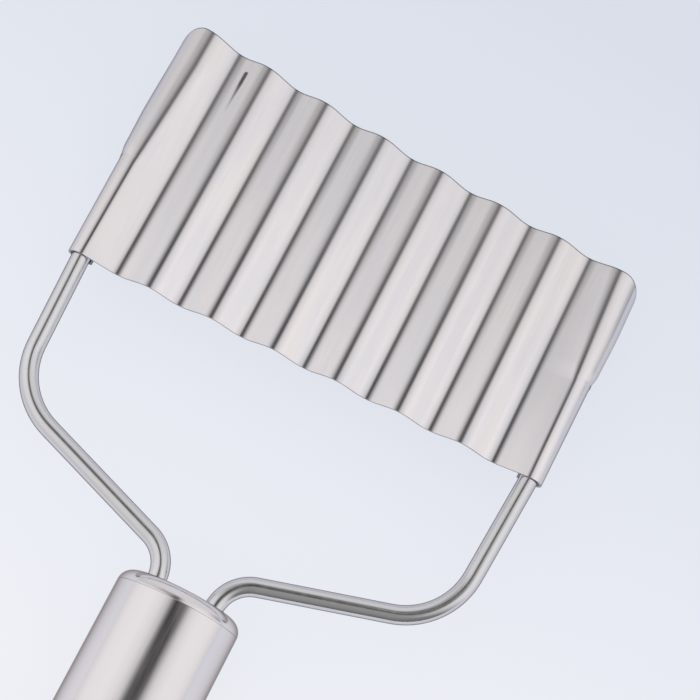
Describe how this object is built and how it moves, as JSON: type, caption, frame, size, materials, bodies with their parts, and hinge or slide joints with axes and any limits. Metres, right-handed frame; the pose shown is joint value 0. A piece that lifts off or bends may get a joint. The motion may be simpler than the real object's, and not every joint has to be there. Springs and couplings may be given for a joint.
{
  "type": "crinkle soap cutter",
  "caption": "Hand-held crinkle soap cutter: a corrugated steel blade rolled on to bent wire arms, with a tubular steel handle and a hanging loop.",
  "frame": {"origin": "on the handle's axis, at the middle of the handle's length", "axes": "+Y along the handle towards the blade's cutting edge, +X across the blade to the right, +Z out of the blade's face"},
  "size_m": [0.0974, 0.2208, 0.023],
  "materials": {
    "sheet_steel": "rolled stainless sheet with a fine grain along the corrugation",
    "wire_steel": "drawn stainless wire, fine lengthwise grain",
    "handle_steel": "satin stainless tube, softly polished",
    "inner_steel": "plain unpolished steel and weld metal, hidden inside the handle"
  },
  "bodies": {
    "root": {"blade": "sheet_steel", "left_arm": "wire_steel", "right_arm": "wire_steel", "front_cap": "handle_steel", "anchor_disc": "inner_steel", "arm_welds": "inner_steel", "handle_tube": "handle_steel", "rear_cap": "handle_steel", "hanging_loop": "wire_steel", "loop_welds": "inner_steel"}
  },
  "joints": []
}
